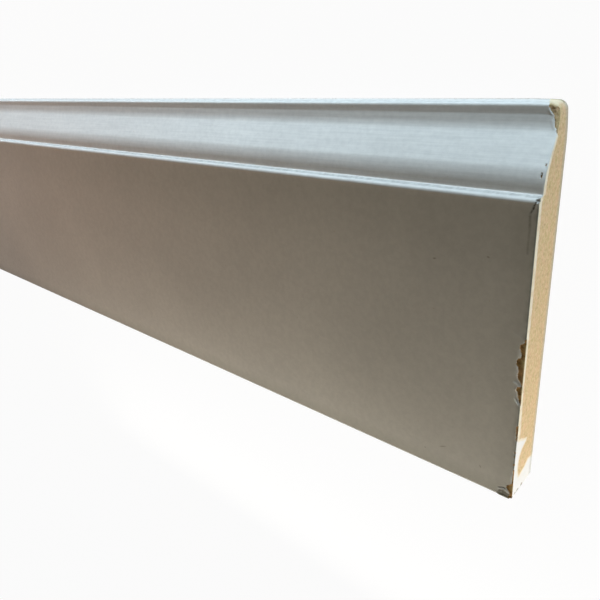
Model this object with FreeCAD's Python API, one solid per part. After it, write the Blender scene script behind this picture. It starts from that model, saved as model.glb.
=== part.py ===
"""A length of moulded skirting board, lying on its back face.

X runs along the board, Y from its square bottom edge to its moulded top edge,
and Z out of its front face. The origin is the middle of the back face.
Sizes are in millimetres and angles in degrees.
"""
import FreeCAD
import Part
import math
import os

# Stock size
LENGTH = 2400.0
HEIGHT = 144.0
THICKNESS = 18.0

# Slight lean of the steep stretches, where the cutter leaves them
DRAFT = 4.0

# Thin top edge: a level land, an eased arris and a steep fillet under it
TOP_DEPTH = 7.4
TOP_ARRIS_RADIUS = 1.4
TOP_FILLET_HEIGHT = 3.5

# Ogee: a lead-in, a hollow, a straight slope and a round, each tangent to the next
LEAD_IN_HEIGHT = 2.0
LEAD_IN_LEAN = 11.0
HOLLOW_RADIUS = 12.0
SLOPE_LEAN = 28.0
ROUND_RADIUS = 16.0

# Foot of the ogee: a steep stretch down to the ledge, and the shoulder that rounds into the face
FOOT_HEIGHT = 2.1
SHOULDER_RADIUS = 2.4

# Eased arris between the face and the bottom edge
BOTTOM_ARRIS_RADIUS = 1.2


class Outline:
    """Runs of the section, drawn from point to point as (height, depth) from the bottom back corner."""

    def __init__(self, start):
        self.at = start
        self.edges = []

    def place(self, point):
        height, depth = point
        return FreeCAD.Vector(-LENGTH / 2, height - HEIGHT / 2, depth)

    def line_to(self, end):
        self.edges.append(Part.LineSegment(self.place(self.at), self.place(end)).toShape())
        self.at = end

    def arc_to(self, middle, end):
        points = [self.place(point) for point in (self.at, middle, end)]
        self.edges.append(Part.Arc(*points).toShape())
        self.at = end

    def run_down(self, drop, lean):
        """Straight run down the front that leans out from upright."""
        self.line_to((self.at[0] - drop, self.at[1] + drop * math.tan(math.radians(lean))))

    def turn_down(self, radius, lean_from, lean_to):
        """Arc down the front that turns from one lean to another: a hollow ends leaning more, a round less."""
        side = 1 if lean_to > lean_from else -1
        first = math.radians(lean_from)
        height, depth = self.at

        def reached(lean):
            last = math.radians(lean)
            drop = side * radius * (math.sin(last) - math.sin(first))
            reach = side * radius * (math.cos(first) - math.cos(last))
            return height - drop, depth + reach

        self.arc_to(reached((lean_from + lean_to) / 2), reached(lean_to))


LEVEL = 90.0
UPRIGHT = 0.0


def slope_drop(start_depth):
    """Drop of the straight slope that brings the round's end to the foot's depth."""
    foot_depth = THICKNESS - SHOULDER_RADIUS - FOOT_HEIGHT * math.tan(math.radians(DRAFT))
    round_reach = ROUND_RADIUS * (math.cos(math.radians(DRAFT)) - math.cos(math.radians(SLOPE_LEAN)))
    return (foot_depth - round_reach - start_depth) / math.tan(math.radians(SLOPE_LEAN))


def draw_top(outline):
    """Level land, eased arris and steep fillet."""
    outline.line_to((HEIGHT, TOP_DEPTH - TOP_ARRIS_RADIUS))
    outline.turn_down(TOP_ARRIS_RADIUS, LEVEL, DRAFT)
    outline.run_down(outline.at[0] - (HEIGHT - TOP_FILLET_HEIGHT), DRAFT)


def draw_ogee(outline):
    """Lead-in, hollow, slope, round and foot."""
    outline.run_down(LEAD_IN_HEIGHT, LEAD_IN_LEAN)
    outline.turn_down(HOLLOW_RADIUS, LEAD_IN_LEAN, SLOPE_LEAN)
    outline.run_down(slope_drop(outline.at[1]), SLOPE_LEAN)
    outline.turn_down(ROUND_RADIUS, SLOPE_LEAN, DRAFT)
    outline.run_down(FOOT_HEIGHT, DRAFT)


def draw_face(outline):
    """Shoulder, plain face and eased bottom arris."""
    outline.turn_down(SHOULDER_RADIUS, LEVEL, UPRIGHT)
    outline.line_to((BOTTOM_ARRIS_RADIUS, THICKNESS))
    outline.turn_down(BOTTOM_ARRIS_RADIUS, UPRIGHT, -LEVEL)


def board_section():
    """Closed section of the board, as a face at the board's left end."""
    outline = Outline((HEIGHT, 0.0))
    draw_top(outline)
    draw_ogee(outline)
    draw_face(outline)
    outline.line_to((0.0, 0.0))
    outline.line_to((HEIGHT, 0.0))
    return Part.Face(Part.Wire(outline.edges))


def skirting_board():
    """The board: its section drawn out along the whole length."""
    return board_section().extrude(FreeCAD.Vector(LENGTH, 0, 0))


def main():
    os.makedirs("parts", exist_ok=True)
    board = skirting_board()
    board.exportStep("parts/skirting_board.step")
    print("skirting_board valid:", board.isValid(), "volume mm3:", round(board.Volume))


main()
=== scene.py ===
"""Looks of a length of moulded skirting board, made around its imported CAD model.

The board is one detailed mesh: painted all round, sawn bare at both ends, and knocked about at
the right-hand one. Sizes are in millimetres. Along is the distance inward from a sawn end, up
is from the square bottom edge to the moulded top edge, and deep is from the back to the front.
"""
import math
from collections import namedtuple
import bpy
from mathutils import Matrix, Vector, noise


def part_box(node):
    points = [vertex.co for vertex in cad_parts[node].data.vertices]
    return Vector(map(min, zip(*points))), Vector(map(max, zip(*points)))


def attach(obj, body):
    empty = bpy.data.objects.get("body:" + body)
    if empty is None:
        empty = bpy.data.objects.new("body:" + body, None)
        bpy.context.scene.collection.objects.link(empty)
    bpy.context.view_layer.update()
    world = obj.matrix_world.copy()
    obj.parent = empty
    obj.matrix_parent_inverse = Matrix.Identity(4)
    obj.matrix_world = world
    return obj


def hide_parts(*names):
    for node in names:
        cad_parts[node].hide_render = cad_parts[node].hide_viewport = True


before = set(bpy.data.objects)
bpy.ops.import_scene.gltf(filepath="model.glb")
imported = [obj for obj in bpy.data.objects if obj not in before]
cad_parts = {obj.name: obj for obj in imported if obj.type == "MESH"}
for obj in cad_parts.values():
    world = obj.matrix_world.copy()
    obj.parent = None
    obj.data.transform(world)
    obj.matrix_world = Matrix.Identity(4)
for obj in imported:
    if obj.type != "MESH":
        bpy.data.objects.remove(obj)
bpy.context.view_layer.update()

# The board's own sizes, from the frame
MM = 0.001
low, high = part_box("skirting_board")
LENGTH, HEIGHT, THICKNESS = ((high[axis] - low[axis]) / MM for axis in range(3))

# Leans from upright, in degrees
LEVEL = 90.0
UPRIGHT = 0.0

# The moulded front, as the CAD model has it
DRAFT = 4.0
TOP_DEPTH = 7.4
TOP_ARRIS_RADIUS = 1.4
TOP_FILLET_HEIGHT = 3.5
LEAD_IN_HEIGHT = 2.0
LEAD_IN_LEAN = 11.0
HOLLOW_RADIUS = 12.0
SLOPE_LEAN = 28.0
ROUND_RADIUS = 16.0
FOOT_HEIGHT = 2.1
SHOULDER_RADIUS = 2.4
BOTTOM_ARRIS_RADIUS = 1.2

# Paint has filled the corner where the foot meets the ledge
INNER_CORNER_RADIUS = 0.6

# How finely the mesh follows the front: rows up it, columns from its back to its front
ROW_STEP = 0.3
ARC_STEP_DEGREES = 9.0
SPARSE_STEPS = (0, 1, 3, 9, 27, 81)
COLUMNS = 36
KEY_COLUMN_SKIP = 9
LEFT_COLUMN_SKIP = 3
LEFT_ROW_SKIP = 4
SHARP_ANGLE_DEGREES = 24.0

# Stations along the board, at which the skin has a ring of points
FINE_STATION_STEP = 0.2
FINE_STATION_COUNT = 20
NEAR_STATION_GROWTH = 1.16
NEAR_REACH = 14.0
FAR_STATION_GROWTH = 1.4
FAR_STATION_LIMIT = 80.0
LEFT_STATIONS = (12.0, 7.0, 4.0, 2.4, 1.5, 0.9, 0.5, 0.2, 0.0)

# How far in from the right-hand end the paint film has chipped off the front, as (up, along)
FILM_LOSS = (
    (0.0, 1.3), (1.4, 1.2), (2.6, 0.9), (3.3, 0.9), (4.2, 1.7), (5.2, 2.5), (6.3, 2.4), (7.2, 1.2),
    (8.0, 0.5), (11.0, 0.4), (14.4, 0.45), (15.0, 0.0),
    (27.8, 0.0), (28.6, 0.5), (31.0, 0.6), (34.2, 0.8), (34.9, 0.0),
    (43.4, 0.0), (44.6, 0.6), (45.8, 0.8), (47.2, 1.3), (48.4, 1.5), (49.6, 2.0), (50.7, 1.6),
    (51.3, 0.35), (52.3, 0.3), (53.1, 1.0), (54.2, 1.9), (55.6, 1.9), (57.0, 1.7), (58.4, 2.1),
    (59.8, 2.7), (61.4, 2.7), (62.6, 1.4), (64.6, 1.4), (66.2, 2.1), (67.4, 2.0), (68.3, 0.7),
    (69.6, 0.6), (70.2, 0.0),
    (135.2, 0.0), (136.2, 0.5), (137.7, 1.15), (139.2, 1.45), (140.6, 1.7), (141.6, 2.5),
    (142.7, 3.4), (144.0, 3.6),
)
FILM_HOLD = 0.2
FILM_WAVER = 0.3
FILM_FINE_WAVER = 0.16
FILM_THICKNESS = 0.22

# Fibre torn out under the film, its rusty part, and how near the top it fades from darker beside the film,
# partly painted shade, to sound wood
TORN_DEPTH = 0.3
RUST_UP = 55.5
RUST_REACH = 4.0
TOP_TORN_MOST = 0.9
TOP_TORN_LEAST = 0.1
TOP_TORN_FADE = 0.7
LEFT_TORN = 0.6

# Small knocks near the right-hand end, as (up, along, half height, half width, depth)
NICKS = (
    (123.8, 1.3, 0.7, 0.25, 0.3),
    (126.8, 0.7, 0.3, 0.25, 0.2),
    (22.7, 0.3, 0.5, 0.35, 0.25),
    (20.8, 0.3, 0.4, 0.3, 0.2),
    (17.1, 0.3, 0.6, 0.35, 0.25),
)
NICK_WAVER = 0.5

# Lifted edges of paint, as (height, half width, paleness of their painted highlight, points of (up, along))
CURLS = (
    (0.14, 0.20, 1.2, ((3.5, 5.3), (4.2, 3.4), (3.9, 2.4), (3.3, 1.5))),
    (0.12, 0.35, 0.3, ((12.2, 0.9), (9.0, 1.0))),
    (0.18, 0.35, 0.5, ((45.6, 2.1), (44.8, 1.7), (43.6, 0.4))),
    (0.16, 0.45, 0.4, ((52.3, 2.9), (52.2, 2.2), (51.0, 0.7))),
    (0.10, 0.50, 0.2, ((49.8, 2.6), (48.4, 2.1), (46.4, 1.8))),
    (0.08, 0.50, 0.2, ((59.0, 2.9), (57.6, 2.5), (55.2, 2.6))),
    (0.10, 0.60, 0.2, ((65.0, 2.2), (63.0, 2.0))),
    (0.06, 0.40, 0.2, ((71.3, 4.5), (70.9, 3.3), (69.7, 1.3))),
    (0.08, 0.35, 0.2, ((141.9, 3.4), (140.6, 2.4))),
    (0.10, 0.40, 0.5, ((138.8, 1.9), (136.8, 1.3))),
    (0.05, 0.40, 0.8, ((132.4, 0.5), (130.6, 0.3))),
    (0.05, 0.40, 0.6, ((127.6, 0.7), (126.6, 0.5))),
)

# Cracks, scuffs and scratches in the film, as (depth, half width, darkness, points of (up, along))
CRACKS = (
    (0.60, 0.65, 1.5, ((117.1, 0.3), (116.9, 0.7))),
    (0.30, 0.35, 0.9, ((116.7, 0.9), (115.8, 1.3))),
    (0.30, 0.50, 1.2, ((115.5, 1.4), (114.4, 1.7))),
    (0.20, 0.45, 0.8, ((114.2, 1.8), (113.2, 2.3))),
    (0.04, 0.55, 0.55, ((113.0, 2.4), (112.0, 2.45), (107.6, 2.2))),
    (0.03, 0.50, 0.35, ((107.6, 2.2), (103.0, 2.35), (100.0, 2.2))),
    (0.25, 0.30, 0.8, ((3.9, 5.4), (4.7, 3.6), (4.6, 2.8))),
)
STROKE_STEEPNESS = 1.6

# Dark scuffs on the face, as (up, along, half length, half width, turn in degrees)
SCUFFS = (
    (12.0, 29.4, 2.3, 0.35, -24.0),
    (10.0, 13.1, 1.1, 0.30, 60.0),
    (92.4, 34.7, 1.0, 0.50, -10.0),
    (96.5, 14.9, 0.8, 0.45, 15.0),
    (7.8, 37.4, 0.5, 0.40, 0.0),
)
SCUFF_THROUGH = 4.0

# Dark specks along the sawn end's bottom edge, as (up, deep, half size)
END_SPECKS = ((0.9, 12.7, 1.5), (0.9, 15.0, 1.3), (0.9, 17.2, 0.8), (1.7, 9.0, 0.9))

# Outline of the broken corner at the bottom of the face, as (up, along)
BROKEN_CORNER = ((-1.0, 6.6), (3.1, 5.3), (3.8, 3.4), (3.5, 2.4), (2.9, 1.5), (2.6, -1.0), (-1.0, -1.0))

# How steeply and deeply it leans back, how far its foot hangs out, how dark its painted shade is and how wide
# its edge
BROKEN_CORNER_SLOPE = 0.1
BROKEN_CORNER_DEPTH = 0.25
BROKEN_CORNER_HANG = 0.35
BROKEN_CORNER_SHADE = 1.4
BROKEN_CORNER_EDGE = 0.4

# Worn corners of the two ends, seen from the front, as reaches (along, up)
TOP_CORNER = (3.0, 2.6)
BOTTOM_CORNER = (1.7, 1.4)
LEFT_CORNER = (0.5, 0.5)
CORNER_WAVER = 0.12

# How the top of the right-hand end dips and leans back above this height
TOP_FOOT = 132.0
TOP_DIP = 0.4
TOP_DIP_REACH = 12.0
LEAN_BACK = 0.8
LEAN_BACK_REACH = 6.0
LEAN_BACK_CURVE = 1.5

# How far the front's sawn arris is worn in at its foot, and what the top adds
ARRIS_WEAR = 0.1
ARRIS_WEAR_REACH = 0.4
ARRIS_WEAR_GAIN = 0.5
ARRIS_WEAR_REACH_GAIN = 1.4

# How far in the film is gone from the top land, at its front and at its back
LAND_LOSS_FRONT = 3.4
LAND_LOSS_BACK = 6.0
LAND_WAVER = 0.5

# How far in it is gone along the plain sawn edges, and how much more along the bottom one
EDGE_LOSS = 0.1
EDGE_WAVER = 0.8
BOTTOM_EDGE_LOSS = 1.0

# Noises of the wear, as (spot size, seed)
FILM_GRAIN = (0.9, 1.0)
FILM_FINE_GRAIN = (0.35, 2.0)
NICK_GRAIN = (0.5, 3.0)
TORN_GRAIN = (0.7, 4.0)
CORNER_GRAIN = (3.0, 5.0)
LAND_GRAIN = (1.2, 6.0)
BACK_EDGE_GRAIN = (2.2, 7.0)
BOTTOM_EDGE_GRAIN = (2.2, 8.0)
LEFT_EDGE_GRAIN = (2.2, 9.0)

# Width of the pale primer along the sawn end's front edge, as (up, width)
STRIP_WIDTHS = (
    (0.0, 2.3), (35.0, 2.4), (42.0, 2.2), (46.0, 1.5), (68.0, 1.6), (74.0, 2.3), (112.0, 2.1),
    (120.0, 1.8), (134.5, 1.6), (135.5, 0.0),
)

# Outline of the white paint smeared over the sawn end's bottom, as (up, deep)
SMEAR = (
    (-1.0, -1.0), (10.0, -1.0), (10.6, 0.3), (11.8, 4.9), (9.9, 7.9), (9.3, 10.6), (8.6, 13.0),
    (11.5, 14.3), (14.0, 14.5), (18.2, 13.7), (20.7, 11.9), (22.3, 8.5), (23.7, 7.7), (25.2, 11.0),
    (27.0, 14.1), (27.4, 15.8), (29.0, 17.2), (29.0, 19.0), (-1.0, 19.0),
)

# Distance of a mark that is nowhere near
FAR_OUTSIDE = -9.0

# Baked layout: shares of its width for the board's skin and each end, with gaps between, and its margin
SKIN_SHARE = 0.84
END_SHARE = 0.063
RIGHT_END_START = 0.85
LEFT_END_START = 0.925
END_MARGIN = 0.005

# How the skin's share is spread along the board: densely near the right-hand end, thinly farther on
NEAR_UNITS_PER_MM = 1.0
FAR_UNITS_PER_MM = 0.016
UNIT_FADE = 26.0

# Colours, as linear red, green and blue
PAINT = (0.70, 0.675, 0.63)
# paler copy of the paint, for painted highlights
PAINT_HIGHLIGHT = (0.84, 0.82, 0.77)
MDF_PALE = (0.74, 0.575, 0.355)
MDF_GOLD = (0.56, 0.43, 0.215)
MDF_ROSE = (0.66, 0.45, 0.27)
MDF_DARK = (0.34, 0.235, 0.12)
TORN_DARK = (0.14, 0.085, 0.03)
TORN_LIGHT = (0.42, 0.24, 0.09)
TORN_GOLD = (0.49, 0.37, 0.17)
TORN_RUST = (0.46, 0.26, 0.11)
# dark of the cracks, and painted shade on the broken corner
CRACK_AND_SHADE_DARK = (0.10, 0.085, 0.06)
# painted shade on the back arris, and the dark specks on the sawn end
SHADE_AND_SPECK_DARK = (0.20, 0.17, 0.12)
# dust with painted shade on what faces up
DUST_AND_SHADE = (0.34, 0.325, 0.30)
# painted shade and other darkening on the face
FACE_SHADE_AND_DARK_GREY = (0.22, 0.225, 0.18)
CREAM = (0.80, 0.74, 0.60)
SMEAR_WHITE = (0.795, 0.80, 0.81)
SMEAR_CREAM = (0.79, 0.71, 0.56)
RIM_GREY = (0.42, 0.44, 0.41)
WHITE = (1.0, 1.0, 1.0)
FLOOR_GREY = (0.8, 0.8, 0.8)

# Noise of the fibreboard; as patches, it comes in from start to end, with a share from low to high
FIBRE_PATCHES = dict(size=2.4, detail=3.0, stretch=(1.0, 1.5, 1.0), roughness=0.65, start=0.36, end=0.64)
PALE_FLECKS = dict(
    size=1.0, detail=3.0, stretch=(1.0, 1.3, 1.0), roughness=0.7, start=0.38, end=0.64, high=0.75
)
DARK_FLECKS = dict(size=0.9, detail=2.0, stretch=(1.0, 1.5, 1.0), start=0.57, end=0.70, high=0.45)
SAWN_FIBRE = dict(size=0.35, detail=4.0, stretch=(1.0, 1.5, 1.0), roughness=0.6)
SAW_LINES = dict(size=0.6, detail=2.0, stretch=(1.0, 1.0, 20.0))
TORN_PATCHES = dict(size=1.3, detail=3.0, start=0.34, end=0.62)
TORN_FIBRE = dict(size=0.3, detail=3.0)
TORN_EDGE = dict(size=0.35, detail=3.0)

# Noise of the paint and of the dirt and painted shade on it, in the same way
CLOUDS = dict(size=60.0, detail=3.0, start=0.25, end=0.75, low=0.95, high=1.04)
MOTTLE = dict(size=2.4, detail=3.0, roughness=0.6, start=0.25, end=0.75, low=0.955, high=1.04)
STREAKS = dict(
    size=0.9, detail=3.0, stretch=(30.0, 1.0, 1.0), roughness=0.6, start=0.25, end=0.75, low=-0.05, high=0.045
)
SPECKS = dict(size=1.6, detail=1.0, start=0.79, end=0.85, high=0.35)
CRACK_GAPS = dict(size=1.1, detail=2.0, start=0.3, end=0.6, low=0.5, high=0.9)
DUST_AND_SHADE_PATCHES = dict(size=2.0, detail=3.0, start=0.3, end=0.7, low=0.7, high=1.0)
FACE_DARK_PATCHES = dict(size=3.0, detail=2.0, start=0.3, end=0.7, low=0.05, high=0.3)
PAINT_ROUGHNESS = dict(size=2.5, detail=2.0, start=0.3, end=0.7, low=0.42, high=0.50)
ORANGE_PEEL = dict(size=0.9, detail=2.0)
CUTTER_LINES = dict(size=0.8, detail=3.0, stretch=(60.0, 1.0, 1.0))
STRIP_WEAR = dict(size=3.0, detail=3.0, start=0.3, end=0.6, low=0.55, high=1.0)
SMEAR_WEAR = dict(size=1.2, detail=3.0, start=0.3, end=0.5, low=0.75, high=1.0)

# Heights over which the face gives way to the moulding, and the moulding to the top land
MOULDING_UP = (114.0, 118.0)
LAND_UP = (120.0, 130.0)

# Torn fibre stays darker beside the film, partly painted shade, and turns golden away from it and rusty near
# one height, as (start, full, none, most)
GOLDEN = (0.7, 2.2, 0.0, 0.8)
RUSTY = (RUST_REACH, 0.5 * RUST_REACH, 0.0, 0.5)

# How ragged the edges of film, primer strip and smear are, and how wide each one is
EDGE_RAGGEDNESS = 0.5
FILM_EDGE = 0.16
STRIP_EDGE = 0.35
SMEAR_EDGE = 0.25

# Where a share depends on how far the surface faces up: dust with painted shade, the slope's painted
# highlight and bare wood's painted highlight
DUST_AND_SHADE_FACING = (0.6, 0.95)
SLOPE_FACING = (0.36, 0.45)
HIGHLIT_WOOD_FACING = (0.5, 0.9, 0.0, 0.35)

# Distances from the right-hand end over which the moulding's painted highlight grows and the land's dust and
# painted shade thin out
PAINTED_LIGHT_ALONG = (400.0, 50.0)

# Shares at both of painted highlight all over the moulding, of more of it on the slope, and of dust and
# painted shade taken off the land
HIGHLIGHT_WHOLE = (0.2, 0.5)
HIGHLIGHT_SLOPE = (0.05, 0.60)
DUST_AND_SHADE_SWEPT = (0.15, 0.35)

# Painted shade and other darkening of the face, as (way, where it starts, where it is full, share)
FACE_SHADE_AND_DARK_BANDS = (
    # painted shade on the worn paint right at the right-hand sawn arris
    ("along", 0.7, 0.2, 0.60),
    # painted shade over the face near the right-hand end
    ("along", 14.0, 1.0, 0.12),
    # darker towards the bottom edge
    ("up", 9.0, 0.0, 0.25),
    # painted shade on the bottom arris
    ("up", 1.1, 0.4, 0.55),
    # painted shade under the ledge
    ("up", 80.0, 114.0, 0.16),
)

# Where the darker patches beside the sawn edge start and are full, and the most that all darkening of the
# face adds up to
DARK_PATCHES_ALONG = (2.2, 0.5)
FACE_DARKENING_MOST = 0.9

# Painted shade on the arris between the top land and the back: how near the back, the top and the end it lies
ARRIS_SHADE_DEEP = (1.9, 0.7)
ARRIS_SHADE_UP = (HEIGHT - 1.5, HEIGHT - 1.0)
ARRIS_SHADE_ALONG = (70.0, 10.0, 0.25, 0.7)

# Grey rim of the sawn end along its back and its top
RIM_DEEP = (3.2, 0.0)
RIM_UP = (HEIGHT - 1.2, HEIGHT - 0.1)

# Where the smear of white paint is thick, from its edge in, and where a scuff is dark, from its outline in
SMEAR_THICK = (0.3, 1.5)
SCUFF_DARK = (1.0, 0.2)

# How much of each mark's colour shows
# share of the painted highlight on lifted edges of paint
HIGHLIGHT_SHARE = 0.9
SCUFF_SHARE = 0.45
SMEAR_SHARE = 0.95
RIM_SHARE = 0.55
END_SPECK_SHARE = 0.9

# Gloss, roughness and relief: how deep the fine relief is in millimetres, and how strong its parts are
PAINT_GLOSS = 0.12
BARE_ROUGHNESS_GAIN = 0.4
PAINT_RELIEF = 0.02
CUTTER_STRENGTH = 0.8
TORN_STRENGTH = 6.0
SAWN_GLOSS = 0.2
SAWN_ROUGHNESS = 0.85
SAWN_RELIEF = 0.12
SAW_LINE_STRENGTH = 0.4

# The room, in metres: its floor, how much of the floor's look is white glow, and its dim light
FLOOR_SIZE = 14.0
FLOOR_GLOW = 0.96
AMBIENT = (0.01, 0.008, 0.006)

# Lamps, as (name, place, aim, size, watts, colour)
LAMPS = (
    ("skim", (0.2, 0.50, 0.016), (0.2, 0.0, 0.012), (4.2, 0.012), 18.0, (0.64, 0.83, 1.0)),
    ("end_light", (1.36, -0.082, 0.0095), (1.2, -0.04, 0.0095), (0.2, 0.018), 0.20, (1.0, 0.91, 0.80)),
    ("low_fill", (1.1, -0.20, 0.055), (1.1, -0.03, 0.01), (0.5, 0.05), 0.44, (1.0, 0.94, 0.79)),
    ("high_fill", (0.6, 0.80, 1.2), (0.8, 0.0, 0.0), (1.0, 0.6), 2.91, (0.87, 1.0, 0.85)),
    ("warm_fill", (0.81, 0.13, 0.33), (0.84, -0.01, 0.0), (0.25, 0.25), 0.17, (1.0, 0.30, 0.10)),
    ("far_fill", (-0.45, -0.10, 0.26), (-0.45, 0.0, 0.0), (1.5, 0.10), 0.52, (1.0, 0.95, 0.84)),
)

# The photograph's camera, fitted to the board's edges
CAMERA_PLACE = (1.26111, 0.0944, 0.1884)
CAMERA_FORWARD = (-0.63029, -0.41208, -0.65797)
CAMERA_DOWN = (0.22129, -0.90771, 0.3565)
CAMERA_LENS = 34.41
CAMERA_NEAREST = 0.01
SENSOR_WIDTH = 36.0


# A row of the front: its place, its lean from upright, and whether the sparse middle of the board has it
Row = namedtuple("Row", "up deep lean is_key")

# Places of the two materials on the board
PAINTED = 0
SAWN = 1


class FrontLine:
    """Rows of the front from its top land down."""

    def __init__(self, up, deep):
        self.up = up
        self.deep = deep
        self.rows = [Row(up, deep, LEVEL, True)]

    def run(self, drop, lean, is_plain=False):
        """Straight run down, where a long plain one has key rows only near its ends."""
        steps = max(1, round(drop / ROW_STEP))
        out = math.tan(math.radians(lean))
        for step in range(1, steps + 1):
            part = drop * step / steps
            is_key = not is_plain or min(step, steps - step) in SPARSE_STEPS
            self.rows.append(Row(self.up - part, self.deep + part * out, lean, is_key))
        self.up -= drop
        self.deep += drop * out

    def turn(self, radius, lean_from, lean_to):
        """Arc down from one lean to another: a hollow ends leaning more, a round less."""
        side = 1 if lean_to > lean_from else -1
        sweep = abs(lean_to - lean_from)
        steps = max(round(radius * math.radians(sweep) / ROW_STEP), math.ceil(sweep / ARC_STEP_DEGREES))
        first = math.radians(lean_from)
        for step in range(1, steps + 1):
            lean = lean_from + (lean_to - lean_from) * step / steps
            angle = math.radians(lean)
            up = self.up - side * radius * (math.sin(angle) - math.sin(first))
            deep = self.deep + side * radius * (math.cos(first) - math.cos(angle))
            self.rows.append(Row(up, deep, lean, True))
        self.up, self.deep = up, deep


def turn_reach(radius, lean_from, lean_to):
    """How far an arc comes forward as it turns from one lean to another."""
    return abs(radius * (math.cos(math.radians(lean_from)) - math.cos(math.radians(lean_to))))


def slope_drop(start_depth):
    """Drop of the straight slope that brings the round's end to the foot's depth."""
    foot_depth = THICKNESS - SHOULDER_RADIUS - FOOT_HEIGHT * math.tan(math.radians(DRAFT))
    round_depth = foot_depth - turn_reach(ROUND_RADIUS, SLOPE_LEAN, DRAFT)
    return (round_depth - start_depth) / math.tan(math.radians(SLOPE_LEAN))


def front_rows():
    """Rows of the front from its bottom edge up."""
    line = FrontLine(HEIGHT, TOP_DEPTH - TOP_ARRIS_RADIUS)
    line.turn(TOP_ARRIS_RADIUS, LEVEL, DRAFT)
    line.run(line.up - (HEIGHT - TOP_FILLET_HEIGHT), DRAFT)
    line.run(LEAD_IN_HEIGHT, LEAD_IN_LEAN)
    line.turn(HOLLOW_RADIUS, LEAD_IN_LEAN, SLOPE_LEAN)
    line.run(slope_drop(line.deep), SLOPE_LEAN)
    line.turn(ROUND_RADIUS, SLOPE_LEAN, DRAFT)
    line.run(FOOT_HEIGHT - INNER_CORNER_RADIUS / 2, DRAFT)
    line.turn(INNER_CORNER_RADIUS, DRAFT, LEVEL)
    line.turn(THICKNESS - line.deep, LEVEL, UPRIGHT)
    line.run(line.up - BOTTOM_ARRIS_RADIUS, UPRIGHT, is_plain=True)
    line.turn(BOTTOM_ARRIS_RADIUS, UPRIGHT, -LEVEL)
    return line.rows[::-1]


ROWS = front_rows()
LAST_ROW = len(ROWS) - 1


def grain(x, y, size, seed):
    """Smooth noise from -1 to 1, with spots of about this size in millimetres."""
    return noise.noise(Vector((x / size, y / size, seed)))


def between(x, points):
    """Height at x of the line through points, which rise in x."""
    if x <= points[0][0]:
        return points[0][1]
    for (x0, y0), (x1, y1) in zip(points, points[1:]):
        if x <= x1:
            return y0 + (y1 - y0) * (x - x0) / (x1 - x0)
    return points[-1][1]


def line_distance(x, y, points):
    """Distance from (x, y) to the line through points."""
    nearest = math.inf
    for (x0, y0), (x1, y1) in zip(points, points[1:]):
        run, rise = x1 - x0, y1 - y0
        part = ((x - x0) * run + (y - y0) * rise) / (run * run + rise * rise)
        part = min(1.0, max(0.0, part))
        nearest = min(nearest, math.hypot(x - x0 - part * run, y - y0 - part * rise))
    return nearest


def inside_distance(x, y, outline):
    """Distance from (x, y) to a closed outline, negative outside it."""
    closed = outline + outline[:1]
    inside = False
    for (x0, y0), (x1, y1) in zip(closed, closed[1:]):
        if (y0 > y) != (y1 > y) and x < x0 + (x1 - x0) * (y - y0) / (y1 - y0):
            inside = not inside
    distance = line_distance(x, y, closed)
    return distance if inside else -distance


def film_loss(up, along):
    """How far inside the chipped part of the front a point is, negative where the film holds."""
    reach = between(up, FILM_LOSS)
    if reach <= 0.0:
        return -along - FILM_HOLD
    ragged = FILM_WAVER * grain(up, along, *FILM_GRAIN)
    ragged += FILM_FINE_WAVER * grain(up, along, *FILM_FINE_GRAIN)
    return reach + ragged * min(1.0, reach) - along


def nick_loss(up, along):
    """How far inside the nearest nick a point is, and that nick's depth."""
    best, depth = FAR_OUTSIDE, 0.0
    ragged = 1.0 + NICK_WAVER * grain(up, along, *NICK_GRAIN)
    for nick_up, nick_along, half_height, half_width, nick_depth in NICKS:
        share = math.hypot((up - nick_up) / half_height, (along - nick_along) / half_width)
        inside = (ragged - share) * min(half_height, half_width)
        if inside > best:
            best, depth = inside, nick_depth
    return best, depth


def strokes(up, along, lines):
    """Height and tone of the nearest of some drawn lines at a point."""
    height, tone, nearest = 0.0, 0.0, 0.0
    for line_height, half_width, line_tone, points in lines:
        share = 1.0 - line_distance(up, along, points) / half_width
        if share > nearest:
            nearest = share
            full = min(1.0, STROKE_STEEPNESS * share)
            height, tone = line_height * full, line_tone * full
    return height, tone


def marks_with(**known):
    """What a point of the board's surface has on it: nothing, apart from what is known."""
    nothing = {"bare": FAR_OUTSIDE, "torn": 0.0, "pale": 0.0, "crack": 0.0, "strip": FAR_OUTSIDE,
               "smear": FAR_OUTSIDE}
    return {**nothing, **known}


def over_arris(up):
    """1 on the front, fading to 0 over the top arris."""
    return min(1.0, (HEIGHT - up) / TOP_ARRIS_RADIUS)


def above_foot(up):
    """0 below the worn top of the right-hand end, rising to 1 at the top edge."""
    return max(0.0, up - TOP_FOOT) / (HEIGHT - TOP_FOOT)


def broken_corner(up, along):
    """How far the broken bottom corner leans back at a point, and how dark its painted shade is."""
    inside = inside_distance(up, along, BROKEN_CORNER)
    if inside <= 0.0:
        return 0.0, 0.0
    foot = 1.0 - min(1.0, up / BOTTOM_ARRIS_RADIUS)
    depth = min(BROKEN_CORNER_DEPTH, BROKEN_CORNER_SLOPE * inside) * (1.0 - foot)
    depth -= BROKEN_CORNER_HANG * foot * min(1.0, inside)
    return depth, BROKEN_CORNER_SHADE * min(1.0, inside / BROKEN_CORNER_EDGE)


def arris_wear(up, along):
    """How far the front's sawn arris is worn in at a point, most near the top."""
    reach = ARRIS_WEAR_REACH + ARRIS_WEAR_REACH_GAIN * above_foot(up)
    if along >= reach:
        return 0.0
    wear = (ARRIS_WEAR + ARRIS_WEAR_GAIN * above_foot(up)) * (1.0 - along / reach) ** 2
    return wear * over_arris(up)


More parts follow.
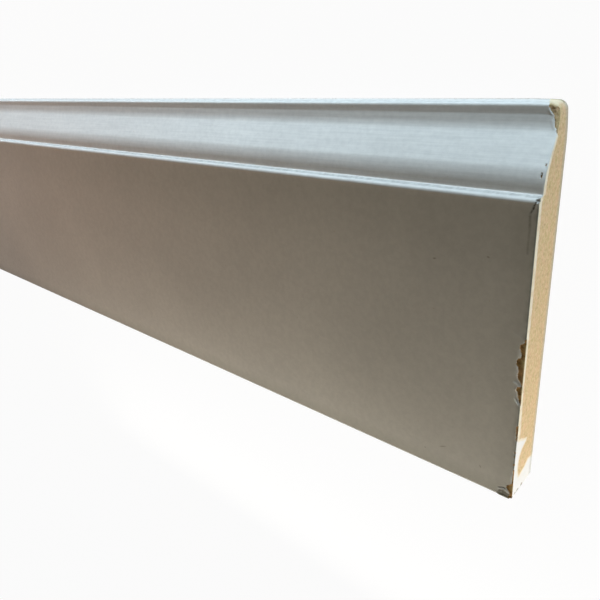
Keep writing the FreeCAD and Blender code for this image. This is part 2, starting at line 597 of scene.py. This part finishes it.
def front_damage(up, along):
    """How deep the front is worn in at a point near the right-hand end, and its marks."""
    loss = film_loss(up, along)
    nick, nick_depth = nick_loss(up, along)
    # pale is the painted highlight along a lifted edge of paint
    curl, pale = strokes(up, along, CURLS)
    crack_depth, crack = strokes(up, along, CRACKS)
    depth = crack_depth - curl
    if loss > 0.0:
        torn_depth = TORN_DEPTH * (0.5 + 0.5 * grain(up, along, *TORN_GRAIN)) * min(1.0, loss)
        depth = (FILM_THICKNESS + torn_depth) * over_arris(up)
        pale = 0.0
    if nick > 0.0:
        depth = max(depth, nick_depth)
    corner_depth, corner_shade = broken_corner(up, along)
    depth += corner_depth + arris_wear(up, along)
    # the broken corner's darkness goes into the crack mark as painted shade
    crack = max(crack, corner_shade * (1.0 - pale))
    # near the top, torn fibre is darker beside the film: partly its own colour, partly painted shade
    torn = max(TOP_TORN_LEAST, TOP_TORN_MOST - loss / TOP_TORN_FADE) if up > TOP_FOOT else 1.0
    return depth, marks_with(bare=max(loss, nick), torn=torn, pale=pale, crack=crack)


def ring(rows, columns, back_rows):
    """Grid places once round the section: up the front, over the top, down the back and under."""
    front = [(row, COLUMNS) for row in rows]
    top = [(LAST_ROW, column) for column in reversed(columns[1:-1])]
    back = [(row, 0) for row in reversed(back_rows)]
    bottom = [(0, column) for column in columns[1:-1]]
    return front + top + back + bottom


def base_place(place, front_depth=0.0):
    """Up and deep of a grid place, with the front worn in by a depth."""
    row, column = place
    up, deep, lean, _ = ROWS[row]
    share = column / COLUMNS
    angle = math.radians(lean)
    front_up = up - front_depth * math.sin(angle)
    front_deep = deep - front_depth * math.cos(angle)
    return up + (front_up - up) * share, front_deep * share


def rounded(along, up, reach):
    """Moves a point near a square corner, at (0, 0), onto a round one that reaches so far along and up."""
    if along >= reach[0] or up >= reach[1]:
        return along, up
    x, y = along / reach[0] - 1.0, up / reach[1] - 1.0
    scale = max(abs(x), abs(y)) / math.hypot(x, y)
    return reach[0] * (1.0 + x * scale), reach[1] * (1.0 + y * scale)


def worn_corners(along, up, top_reach, bottom_reach):
    """Where a point near a sawn end goes as the end's top and bottom corners wear round."""
    along, from_top = rounded(along, HEIGHT - up, top_reach)
    return rounded(along, HEIGHT - from_top, bottom_reach)


def worn_end(along, up, deep):
    """Where a point near the right-hand end goes as its corners wear round and its top leans back."""
    uneven = 1.0 + CORNER_WAVER * grain(deep, along, *CORNER_GRAIN)
    reaches = [(reach[0] * uneven, reach[1] * uneven) for reach in (TOP_CORNER, BOTTOM_CORNER)]
    along, up = worn_corners(along, up, *reaches)
    above = above_foot(up)
    along += LEAN_BACK * above ** LEAN_BACK_CURVE * max(0.0, 1.0 - along / LEAN_BACK_REACH)
    up -= TOP_DIP * above * max(0.0, 1.0 - along / TOP_DIP_REACH) ** 2
    return along, up


def land_loss(along, deep):
    """How far inside the bare part of the top land a point is."""
    reach = LAND_LOSS_FRONT + (LAND_LOSS_BACK - LAND_LOSS_FRONT) * (1.0 - deep / TOP_DEPTH)
    return reach + LAND_WAVER * grain(deep, along, *LAND_GRAIN) - along


def edge_loss(along, position, edge_grain):
    """How far inside the small chips along a plain sawn edge a point is."""
    return EDGE_LOSS + EDGE_WAVER * grain(position, along, *edge_grain) - along


def skin_damage(place, along):
    """How deep the skin is worn in at a place near the right-hand end, and its marks."""
    row, column = place
    up, deep = base_place(place)
    if column == COLUMNS:
        depth, marks = front_damage(up, along)
        if up > HEIGHT - TOP_ARRIS_RADIUS:
            marks["bare"] = max(marks["bare"], land_loss(along, deep))
            marks["torn"] *= over_arris(up) ** 2
        return depth, marks
    if row == LAST_ROW:
        return 0.0, marks_with(bare=land_loss(along, deep))
    if column == 0:
        return 0.0, marks_with(bare=edge_loss(along, up, BACK_EDGE_GRAIN))
    return 0.0, marks_with(bare=edge_loss(along, deep, BOTTOM_EDGE_GRAIN) + BOTTOM_EDGE_LOSS)


def skin_point(place, along):
    """A point of the board's skin, in metres, with its marks."""
    from_left = LENGTH - along
    if along < NEAR_REACH:
        depth, marks = skin_damage(place, along)
        if along == 0.0:
            marks.update(end_marks(place))
        up, deep = base_place(place, depth)
        along, up = worn_end(along, up, deep)
        return board_point(along, up, deep), marks
    up, deep = base_place(place)
    if from_left < NEAR_REACH:
        marks = marks_with(bare=edge_loss(from_left, up + deep, LEFT_EDGE_GRAIN), torn=LEFT_TORN)
        from_left, up = worn_corners(from_left, up, LEFT_CORNER, LEFT_CORNER)
        return board_point(LENGTH - from_left, up, deep), marks
    return board_point(along, up, deep), marks_with()


def end_marks(place):
    """How far inside the primer strip and the white smear a place on the right-hand sawn end is."""
    up, deep = base_place(place)
    from_front = ROWS[place[0]].deep - deep
    return {
        "strip": between(up, STRIP_WIDTHS) - from_front,
        "smear": inside_distance(up, deep, SMEAR),
    }


def right_end_point(place):
    """A point of the right-hand sawn end, in metres, with its marks."""
    depth, _ = front_damage(ROWS[place[0]].up, 0.0)
    up, deep = base_place(place, depth)
    along, up = worn_end(0.0, up, deep)
    return board_point(along, up, deep), marks_with(**end_marks(place))


def left_end_point(place):
    """A point of the left-hand sawn end, in metres, with its marks."""
    up, deep = base_place(place)
    from_left, up = worn_corners(0.0, up, LEFT_CORNER, LEFT_CORNER)
    return board_point(LENGTH - from_left, up, deep), marks_with()


def board_point(along, up, deep):
    """A point of the board, in metres."""
    return Vector((high.x - along * MM, low.y + up * MM, low.z + deep * MM))


def stations():
    """Distances of the rings of points from the right-hand end, close together near both ends."""
    near = [FINE_STATION_STEP * count for count in range(FINE_STATION_COUNT)]
    while near[-1] < NEAR_REACH:
        near.append(near[-1] + (near[-1] - near[-2]) * NEAR_STATION_GROWTH)
    far = [near[-1]]
    step = near[-1] - near[-2]
    while far[-1] < LENGTH - FAR_STATION_LIMIT - LEFT_STATIONS[0]:
        step = min(FAR_STATION_LIMIT, step * FAR_STATION_GROWTH)
        far.append(far[-1] + step)
    left = [LENGTH - from_left for from_left in LEFT_STATIONS]
    return near, far[1:], left


def layout_across(along):
    """Where a distance along the board lies across the skin's share of the baked layout, from 0 to 1."""
    def units(distance):
        near = (NEAR_UNITS_PER_MM - FAR_UNITS_PER_MM) * UNIT_FADE * (1.0 - math.exp(-distance / UNIT_FADE))
        return near + FAR_UNITS_PER_MM * distance
    return units(along) / units(LENGTH)


class BoardMesh:
    """Collects the board's points, faces, marks and baked layout."""

    def __init__(self):
        self.points = []
        self.marks = []
        self.faces = []
        self.layout = []
        self.materials = []
        self.round_share = self.shares_round()

    def shares_round(self):
        """Share of the way round the section of each place on its outline."""
        places = ring(range(LAST_ROW + 1), range(COLUMNS + 1), range(LAST_ROW + 1))
        lengths = [0.0]
        for before, after in zip(places, places[1:] + places[:1]):
            up0, deep0 = base_place(before)
            up1, deep1 = base_place(after)
            lengths.append(lengths[-1] + math.hypot(up1 - up0, deep1 - deep0))
        return {place: length / lengths[-1] for place, length in zip(places, lengths)}

    def add_point(self, point, marks):
        self.points.append(point)
        self.marks.append(marks)
        return len(self.points) - 1

    def add_ring(self, places, along):
        return {place: self.add_point(*skin_point(place, along)) for place in places}

    def add_face(self, corners, layout, material):
        self.faces.append(corners)
        self.layout.extend(layout)
        self.materials.append(material)

    def join_rings(self, nearer, farther, near_along, far_along):
        """Faces between two rings of places, where one has some of the other's places."""
        near_x = SKIN_SHARE * layout_across(near_along)
        far_x = SKIN_SHARE * layout_across(far_along)
        shared = [place for place in nearer if place in farther]
        near_places = list(nearer)
        far_places = list(farther)
        for start, end in zip(shared, shared[1:] + shared[:1]):
            near_chain = chain(near_places, start, end)
            far_chain = chain(far_places, start, end)
            corners = [nearer[place] for place in near_chain]
            corners += [farther[place] for place in reversed(far_chain)]
            layout = [(near_x, self.share(place, start)) for place in near_chain]
            layout += [(far_x, self.share(place, start)) for place in reversed(far_chain)]
            self.add_face(corners, layout, PAINTED)

    def share(self, place, start):
        """Share round the section, running on past the seam where a face crosses it."""
        share = self.round_share[place]
        return share if share >= self.round_share[start] else 1.0

    def add_end(self, rows, columns, outline, point_at, layout_left, flip):
        """Grid of faces over a sawn end, whose outline is an existing ring."""
        index = {}
        for row in rows:
            for column in columns:
                place = (row, column)
                index[place] = outline[place] if place in outline else self.add_point(*point_at(place))
        for row0, row1 in zip(rows, rows[1:]):
            for column0, column1 in zip(columns, columns[1:]):
                places = [(row0, column0), (row1, column0), (row1, column1), (row0, column1)]
                if flip:
                    places.reverse()
                layout = [end_layout(place, layout_left) for place in places]
                self.add_face([index[place] for place in places], layout, SAWN)


def chain(places, start, end):
    """The places from start to end, round the ring."""
    first = places.index(start)
    last = places.index(end)
    if last > first:
        return places[first:last + 1]
    return places[first:] + places[:last + 1]


def end_layout(place, left):
    """Place of an end's point in the baked layout."""
    up, deep = base_place(place)
    return left + END_SHARE * deep / THICKNESS, END_MARGIN + (1.0 - 2.0 * END_MARGIN) * up / HEIGHT


def board_mesh():
    """The whole board as one closed mesh."""
    board = BoardMesh()
    all_rows = list(range(LAST_ROW + 1))
    key_rows = [row for row in all_rows if ROWS[row].is_key or row == 0]
    left_rows = sorted(set(key_rows) | set(all_rows[::LEFT_ROW_SKIP]))
    all_columns = list(range(COLUMNS + 1))
    key_columns = all_columns[::KEY_COLUMN_SKIP]
    left_columns = all_columns[::LEFT_COLUMN_SKIP]
    face_rows = [row for row in key_rows if ROWS[row].up < HEIGHT / 2] + [LAST_ROW]
    fine_ring = ring(all_rows, all_columns, all_rows)
    key_ring = ring(key_rows, key_columns, face_rows)
    left_ring = ring(left_rows, left_columns, left_rows)
    near, far, left = stations()
    steps = [(along, fine_ring) for along in near]
    steps += [(along, key_ring) for along in far]
    steps += [(along, left_ring) for along in left]
    made = [(along, board.add_ring(places, along)) for along, places in steps]
    for (along0, ring0), (along1, ring1) in zip(made, made[1:]):
        board.join_rings(ring0, ring1, along0, along1)
    board.add_end(all_rows, all_columns, made[0][1], right_end_point, RIGHT_END_START, False)
    board.add_end(left_rows, left_columns, made[-1][1], left_end_point, LEFT_END_START, True)
    return board


def add_object(name, data):
    """A new object of the scene, with this data."""
    thing = bpy.data.objects.new(name, data)
    bpy.context.scene.collection.objects.link(thing)
    return thing


def mesh_object(name, board, materials):
    """A Blender object from the collected board."""
    mesh = bpy.data.meshes.new(name)
    mesh.from_pydata(board.points, [], board.faces)
    for material in materials:
        mesh.materials.append(material)
    mesh.polygons.foreach_set("material_index", board.materials)
    layer = mesh.uv_layers.new(name="OFBake")
    layer.data.foreach_set("uv", [value for pair in board.layout for value in pair])
    for mark in board.marks[0]:
        values = mesh.attributes.new(mark, "FLOAT", "POINT")
        values.data.foreach_set("value", [marks[mark] for marks in board.marks])
    mesh.shade_smooth()
    mesh.set_sharp_from_angle(angle=math.radians(SHARP_ANGLE_DEGREES))
    return add_object(name, mesh)


class Nodes:
    """A material's nodes, added by short calls that each give back an output."""

    def __init__(self, name):
        self.material = bpy.data.materials.new(name)
        self.material.use_nodes = True
        self.tree = self.material.node_tree
        self.shader = self.tree.nodes["Principled BSDF"]
        place = self.tree.nodes.new("ShaderNodeTexCoord").outputs["Object"]
        self.place = self.vector("MULTIPLY", place, (1 / MM, 1 / MM, 1 / MM))
        x, y, z = self.split(self.place)
        self.along = self.minus(high.x / MM, x)
        self.up = self.minus(y, low.y / MM)
        self.deep = self.minus(z, low.z / MM)
        self.moulded = self.step(self.up, *MOULDING_UP)

    def put(self, socket, value):
        if isinstance(value, bpy.types.NodeSocket):
            self.tree.links.new(value, socket)
        else:
            socket.default_value = value

    def add(self, kind, output, settings=None, **inputs):
        node = self.tree.nodes.new(kind)
        for name, value in (settings or {}).items():
            setattr(node, name, value)
        for name, value in inputs.items():
            self.put(node.inputs[name.replace("_", " ")], value)
        return node.outputs[output]

    def split(self, vector):
        node = self.tree.nodes.new("ShaderNodeSeparateXYZ")
        self.put(node.inputs[0], vector)
        return node.outputs

    def vector(self, operation, a, b):
        node = self.tree.nodes.new("ShaderNodeVectorMath")
        node.operation = operation
        self.put(node.inputs[0], a)
        self.put(node.inputs[1], b)
        return node.outputs[0]

    def length(self, a):
        node = self.tree.nodes.new("ShaderNodeVectorMath")
        node.operation = "LENGTH"
        self.put(node.inputs[0], a)
        return node.outputs["Value"]

    def math(self, operation, a, b=0.0, c=0.0):
        node = self.tree.nodes.new("ShaderNodeMath")
        node.operation = operation
        for socket, value in zip(node.inputs, (a, b, c)):
            self.put(socket, value)
        return node.outputs[0]

    def times(self, first, *others):
        for other in others:
            first = self.math("MULTIPLY", first, other)
        return first

    def plus(self, a, b):
        return self.math("ADD", a, b)

    def minus(self, a, b):
        return self.math("SUBTRACT", a, b)

    def most(self, a, b):
        return self.math("MAXIMUM", a, b)

    def times_plus(self, a, b, c):
        return self.math("MULTIPLY_ADD", a, b, c)

    def mark(self, name):
        return self.add("ShaderNodeAttribute", "Fac", {"attribute_name": name})

    def facing_up(self):
        """How far the surface faced up while the board stood: 0 upright to 1 level."""
        return self.split(self.add("ShaderNodeTexCoord", "Normal"))["Y"]

    def noise(self, size, detail, stretch=None, roughness=0.5):
        """Noise around 0.5 with spots of this size in millimetres, drawn out by stretch along x, y and z."""
        place = self.place if stretch is None else self.vector("DIVIDE", self.place, stretch)
        return self.add(
            "ShaderNodeTexNoise", "Fac", Vector=place, Scale=1.0 / size, Detail=detail, Roughness=roughness
        )

    def step(self, value, start, end, low=0.0, high=1.0):
        """Smooth step from low, where value is at start, to high, where it is at end."""
        node = self.tree.nodes.new("ShaderNodeMapRange")
        node.interpolation_type = "SMOOTHSTEP"
        for name, number in (("From Min", start), ("From Max", end), ("To Min", low), ("To Max", high)):
            node.inputs[name].default_value = number
        self.put(node.inputs["Value"], value)
        return node.outputs["Result"]

    def patches(self, start, end, low=0.0, high=1.0, **pattern):
        """Patches where noise goes from start to end, with a share that goes from low to high."""
        return self.step(self.noise(**pattern), start, end, low, high)

    def mix(self, share, a, b, blend="MIX"):
        node = self.tree.nodes.new("ShaderNodeMix")
        node.data_type = "RGBA"
        node.blend_type = blend
        self.put(node.inputs["Factor"], share)
        self.put(node.inputs["A"], colour(a))
        self.put(node.inputs["B"], colour(b))
        return node.outputs["Result"]

    def finish(self, base, roughness, gloss, height, relief):
        """The material, with a bump of height times relief in millimetres."""
        self.put(self.shader.inputs["Base Color"], base)
        self.put(self.shader.inputs["Roughness"], roughness)
        self.shader.inputs["Specular IOR Level"].default_value = gloss
        bump = self.tree.nodes.new("ShaderNodeBump")
        bump.inputs["Distance"].default_value = relief * MM
        self.put(bump.inputs["Height"], height)
        self.tree.links.new(bump.outputs["Normal"], self.shader.inputs["Normal"])
        return self.material


def colour(value):
    """A colour with its alpha, or a node's output as it is."""
    return (*value, 1.0) if isinstance(value, tuple) and len(value) == 3 else value


def mdf_colour(nodes):
    """Pressed fibre: golden and rosy tan, flecked with paler and darker fibres."""
    base = nodes.mix(nodes.patches(**FIBRE_PATCHES), MDF_GOLD, MDF_ROSE)
    base = nodes.mix(nodes.patches(**PALE_FLECKS), base, MDF_PALE)
    return nodes.mix(nodes.patches(**DARK_FLECKS), base, MDF_DARK)


def torn_colour(nodes):
    """Fibre torn open under the paint: darker beside the film, partly painted shade, paler towards the arris,
    rusty half way up.
    """
    torn = nodes.mix(nodes.patches(**TORN_PATCHES), TORN_DARK, TORN_LIGHT)
    torn = nodes.mix(nodes.step(nodes.mark("bare"), *GOLDEN), torn, TORN_GOLD)
    from_rust = nodes.math("ABSOLUTE", nodes.minus(nodes.up, RUST_UP))
    return nodes.mix(nodes.step(from_rust, *RUSTY), torn, TORN_RUST)


def ragged_edge(nodes, value, width):
    """1 where a mark's distance is inside, with a torn edge finer than the mesh."""
    wobble = nodes.minus(nodes.noise(**TORN_EDGE), 0.5)
    return nodes.step(nodes.times_plus(wobble, EDGE_RAGGEDNESS, value), -width, width)


def scuffed(nodes):
    """1 on the dark scuffs of the face."""
    total = 0.0
    for up, along, half_length, half_width, turn in SCUFFS:
        local = nodes.add(
            "ShaderNodeMapping", "Vector", {"vector_type": "TEXTURE"}, Vector=nodes.place,
            Location=board_point(along, up, THICKNESS) / MM, Rotation=(0.0, 0.0, math.radians(-turn)),
            Scale=(half_length, half_width, SCUFF_THROUGH)
        )
        total = nodes.most(nodes.step(nodes.length(local), *SCUFF_DARK), total)
    return total


def back_arris_shade(nodes):
    """Share of painted shade along the arris between the top land and the back, most near the right-hand end.
    """
    near_end = nodes.step(nodes.along, *ARRIS_SHADE_ALONG)
    near_back = nodes.step(nodes.deep, *ARRIS_SHADE_DEEP)
    return nodes.times(near_back, nodes.step(nodes.up, *ARRIS_SHADE_UP), near_end)


def dust_and_shade_share(nodes):
    """Share of dust and painted shade on the top land and the ledge, less on the land near the right-hand
    end.
    """
    settled = nodes.step(nodes.facing_up(), *DUST_AND_SHADE_FACING)
    taken_off = nodes.step(nodes.along, *PAINTED_LIGHT_ALONG, *DUST_AND_SHADE_SWEPT)
    taken_off = nodes.times(nodes.step(nodes.up, *LAND_UP), taken_off)
    return nodes.times(settled, nodes.patches(**DUST_AND_SHADE_PATCHES), nodes.minus(1.0, taken_off))


def painted_highlight(nodes):
    """Share of painted highlight on the moulding, most on its slope near the right-hand end."""
    whole = nodes.step(nodes.along, *PAINTED_LIGHT_ALONG, *HIGHLIGHT_WHOLE)
    slope = nodes.step(nodes.along, *PAINTED_LIGHT_ALONG, *HIGHLIGHT_SLOPE)
    on_slope = nodes.step(nodes.facing_up(), *SLOPE_FACING)
    return nodes.times(nodes.times_plus(on_slope, slope, whole), nodes.moulded)


def face_shade_and_darkening(nodes):
    """Share of darkening on the face: painted shade beside the right-hand sawn edge, on the bottom arris and
    towards the ledge, with darker patches beside that edge and a darker bottom.
    """
    total = nodes.times(nodes.step(nodes.along, *DARK_PATCHES_ALONG), nodes.patches(**FACE_DARK_PATCHES))
    ways = {"along": nodes.along, "up": nodes.up}
    for way, start, full, share in FACE_SHADE_AND_DARK_BANDS:
        total = nodes.plus(total, nodes.step(ways[way], start, full, 0.0, share))
    total = nodes.math("MINIMUM", total, FACE_DARKENING_MOST)
    return nodes.times(total, nodes.minus(1.0, nodes.moulded))


def paint_colour(nodes):
    """Off-white paint, cloudy and mottled, and streaked along the moulding, with all that lies on it and its
    painted highlights and shade.
    """
    streaks = nodes.times_plus(nodes.patches(**STREAKS), nodes.moulded, 1.0)
    tone = nodes.times(nodes.patches(**CLOUDS), nodes.patches(**MOTTLE), streaks)
    tint = nodes.add("ShaderNodeCombineColor", "Color", Red=tone, Green=tone, Blue=tone)
    # painted highlight on the moulding, most on its slope near the right-hand end
    paint = nodes.mix(painted_highlight(nodes), PAINT, PAINT_HIGHLIGHT)
    paint = nodes.mix(1.0, paint, tint, "MULTIPLY")
    paint = nodes.mix(nodes.patches(**SPECKS), paint, TORN_LIGHT)
    # painted highlight on the lifted edges of paint
    paint = nodes.mix(nodes.times(nodes.mark("pale"), HIGHLIGHT_SHARE), paint, PAINT_HIGHLIGHT)
    cracked = nodes.times(nodes.mark("crack"), nodes.patches(**CRACK_GAPS))
    paint = nodes.mix(cracked, paint, CRACK_AND_SHADE_DARK)
    # dust and painted shade on the top land and the ledge
    paint = nodes.mix(dust_and_shade_share(nodes), paint, DUST_AND_SHADE)
    # painted shade and other darkening on the face
    paint = nodes.mix(face_shade_and_darkening(nodes), paint, FACE_SHADE_AND_DARK_GREY)
    return nodes.mix(nodes.times(scuffed(nodes), SCUFF_SHARE), paint, TORN_DARK)


def painted_skin():
    """Satin paint, with the wood that shows where it has chipped off."""
    nodes = Nodes("painted_mdf")
    wood = nodes.mix(nodes.mark("torn"), mdf_colour(nodes), torn_colour(nodes))
    # painted highlight: bare wood that faces up is paler and creamier
    wood = nodes.mix(nodes.step(nodes.facing_up(), *HIGHLIT_WOOD_FACING), wood, CREAM)
    bare = ragged_edge(nodes, nodes.mark("bare"), FILM_EDGE)
    base = nodes.mix(bare, paint_colour(nodes), wood)
    # painted shade along the back arris of the top land
    base = nodes.mix(back_arris_shade(nodes), base, SHADE_AND_SPECK_DARK)
    roughness = nodes.times_plus(bare, BARE_ROUGHNESS_GAIN, nodes.patches(**PAINT_ROUGHNESS))
    drawn = nodes.times(nodes.noise(**CUTTER_LINES), nodes.moulded)
    height = nodes.times_plus(drawn, CUTTER_STRENGTH, nodes.noise(**ORANGE_PEEL))
    fibre = nodes.times(nodes.noise(**TORN_FIBRE), bare)
    height = nodes.times_plus(fibre, TORN_STRENGTH, height)
    return nodes.finish(base, roughness, PAINT_GLOSS, height, PAINT_RELIEF)


def end_specks(nodes):
    """1 on the dark specks along the sawn end's bottom edge."""
    total = 0.0
    for up, deep, half_size in END_SPECKS:
        offset = nodes.vector("SUBTRACT", nodes.place, tuple(board_point(0.0, up, deep) / MM))
        distance = nodes.length(nodes.vector("MULTIPLY", offset, (0.0, 1.0, 1.0)))
        total = nodes.most(nodes.step(distance, half_size, 0.5 * half_size), total)
    return total


def smear_colour(nodes):
    """White paint, which is creamy where it thins out."""
    thick = nodes.step(nodes.mark("smear"), *SMEAR_THICK)
    return nodes.mix(nodes.times(thick, nodes.patches(**SMEAR_WEAR)), SMEAR_CREAM, SMEAR_WHITE)


def sawn_end():
    """Bare sawn fibreboard, with pale primer along its front edge and a smear of white paint."""
    nodes = Nodes("sawn_mdf")
    strip = ragged_edge(nodes, nodes.mark("strip"), STRIP_EDGE)
    base = nodes.mix(nodes.times(strip, nodes.patches(**STRIP_WEAR)), mdf_colour(nodes), CREAM)
    smear = ragged_edge(nodes, nodes.mark("smear"), SMEAR_EDGE)
    base = nodes.mix(nodes.times(smear, SMEAR_SHARE), base, smear_colour(nodes))
    rim = nodes.most(nodes.step(nodes.deep, *RIM_DEEP), nodes.step(nodes.up, *RIM_UP))
    base = nodes.mix(nodes.times(rim, RIM_SHARE), base, RIM_GREY)
    base = nodes.mix(nodes.times(end_specks(nodes), END_SPECK_SHARE), base, SHADE_AND_SPECK_DARK)
    height = nodes.times_plus(nodes.noise(**SAW_LINES), SAW_LINE_STRENGTH, nodes.noise(**SAWN_FIBRE))
    return nodes.finish(base, SAWN_ROUGHNESS, SAWN_GLOSS, height, SAWN_RELIEF)


def dress_board():
    """The detailed board in place of the plain CAD one."""
    piece = mesh_object("skirting_board_dressed", board_mesh(), [painted_skin(), sawn_end()])
    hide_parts("skirting_board")
    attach(piece, "root")


def seen_directly(tree):
    """1 for rays that show a background: from the camera, or by gloss or through glass."""
    path = tree.nodes.new("ShaderNodeLightPath")
    total = path.outputs["Is Camera Ray"]
    for name in ("Is Glossy Ray", "Is Transmission Ray"):
        either = tree.nodes.new("ShaderNodeMath")
        either.operation = "MAXIMUM"
        tree.links.new(total, either.inputs[0])
        tree.links.new(path.outputs[name], either.inputs[1])
        total = either.outputs[0]
    return total


def floor_material():
    """Plain pale material that mostly glows white where it is seen directly."""
    material = bpy.data.materials.new("floor_white")
    material.use_nodes = True
    tree = material.node_tree
    tree.nodes.clear()
    plain = tree.nodes.new("ShaderNodeBsdfDiffuse")
    plain.inputs["Color"].default_value = colour(FLOOR_GREY)
    glow = tree.nodes.new("ShaderNodeEmission")
    glow.inputs["Color"].default_value = colour(WHITE)
    share = tree.nodes.new("ShaderNodeMath")
    share.operation = "MULTIPLY"
    share.inputs[1].default_value = FLOOR_GLOW
    both = tree.nodes.new("ShaderNodeMixShader")
    out = tree.nodes.new("ShaderNodeOutputMaterial")
    tree.links.new(seen_directly(tree), share.inputs[0])
    tree.links.new(share.outputs[0], both.inputs[0])
    tree.links.new(plain.outputs[0], both.inputs[1])
    tree.links.new(glow.outputs[0], both.inputs[2])
    tree.links.new(both.outputs[0], out.inputs["Surface"])
    return material


def white_floor():
    """Plain white floor that keeps a faint shadow."""
    half = FLOOR_SIZE / 2
    corners = [(-half, -half, 0.0), (half, -half, 0.0), (half, half, 0.0), (-half, half, 0.0)]
    mesh = bpy.data.meshes.new("floor")
    mesh.from_pydata(corners, [], [(0, 1, 2, 3)])
    mesh.materials.append(floor_material())
    floor = add_object("floor", mesh)


def surroundings():
    """Dim even light from all round, behind a white backdrop."""
    world = bpy.data.worlds.new("studio")
    bpy.context.scene.world = world
    world.use_nodes = True
    tree = world.node_tree
    tree.nodes.clear()
    mix = tree.nodes.new("ShaderNodeMix")
    mix.data_type = "RGBA"
    mix.inputs["A"].default_value = colour(AMBIENT)
    mix.inputs["B"].default_value = colour(WHITE)
    tree.links.new(seen_directly(tree), mix.inputs["Factor"])
    light = tree.nodes.new("ShaderNodeBackground")
    tree.links.new(mix.outputs["Result"], light.inputs["Color"])
    out = tree.nodes.new("ShaderNodeOutputWorld")
    tree.links.new(light.outputs[0], out.inputs["Surface"])


def softbox(name, place, aim, size, power, tint):
    """A rectangular lamp at place that faces aim, in metres and watts."""
    lamp = bpy.data.lights.new(name, "AREA")
    lamp.shape = "RECTANGLE"
    lamp.size, lamp.size_y = size
    lamp.energy = power
    lamp.color = tint
    thing = add_object(name, lamp)
    thing.location = place
    thing.rotation_euler = (Vector(aim) - Vector(place)).to_track_quat("-Z", "Y").to_euler()


def studio_lights():
    """Cool light skimming in over the moulded top, light on the sawn end, and soft fills."""
    for lamp in LAMPS:
        softbox(*lamp)


def photograph_camera():
    """The camera that saw the board as the photograph shows it."""
    lens = bpy.data.cameras.new("camera")
    lens.lens = CAMERA_LENS
    lens.sensor_width = SENSOR_WIDTH
    lens.clip_start = CAMERA_NEAREST
    camera = add_object("camera", lens)
    back = -Vector(CAMERA_FORWARD).normalized()
    right = (-Vector(CAMERA_DOWN)).cross(back).normalized()
    up = back.cross(right)
    turn = Matrix((right, up, back)).transposed()
    camera.matrix_world = Matrix.Translation(CAMERA_PLACE) @ turn.to_4x4()
    bpy.context.scene.camera = camera


photograph_camera()
dress_board()
white_floor()
surroundings()
studio_lights()
bpy.context.scene.view_settings.view_transform = "Standard"
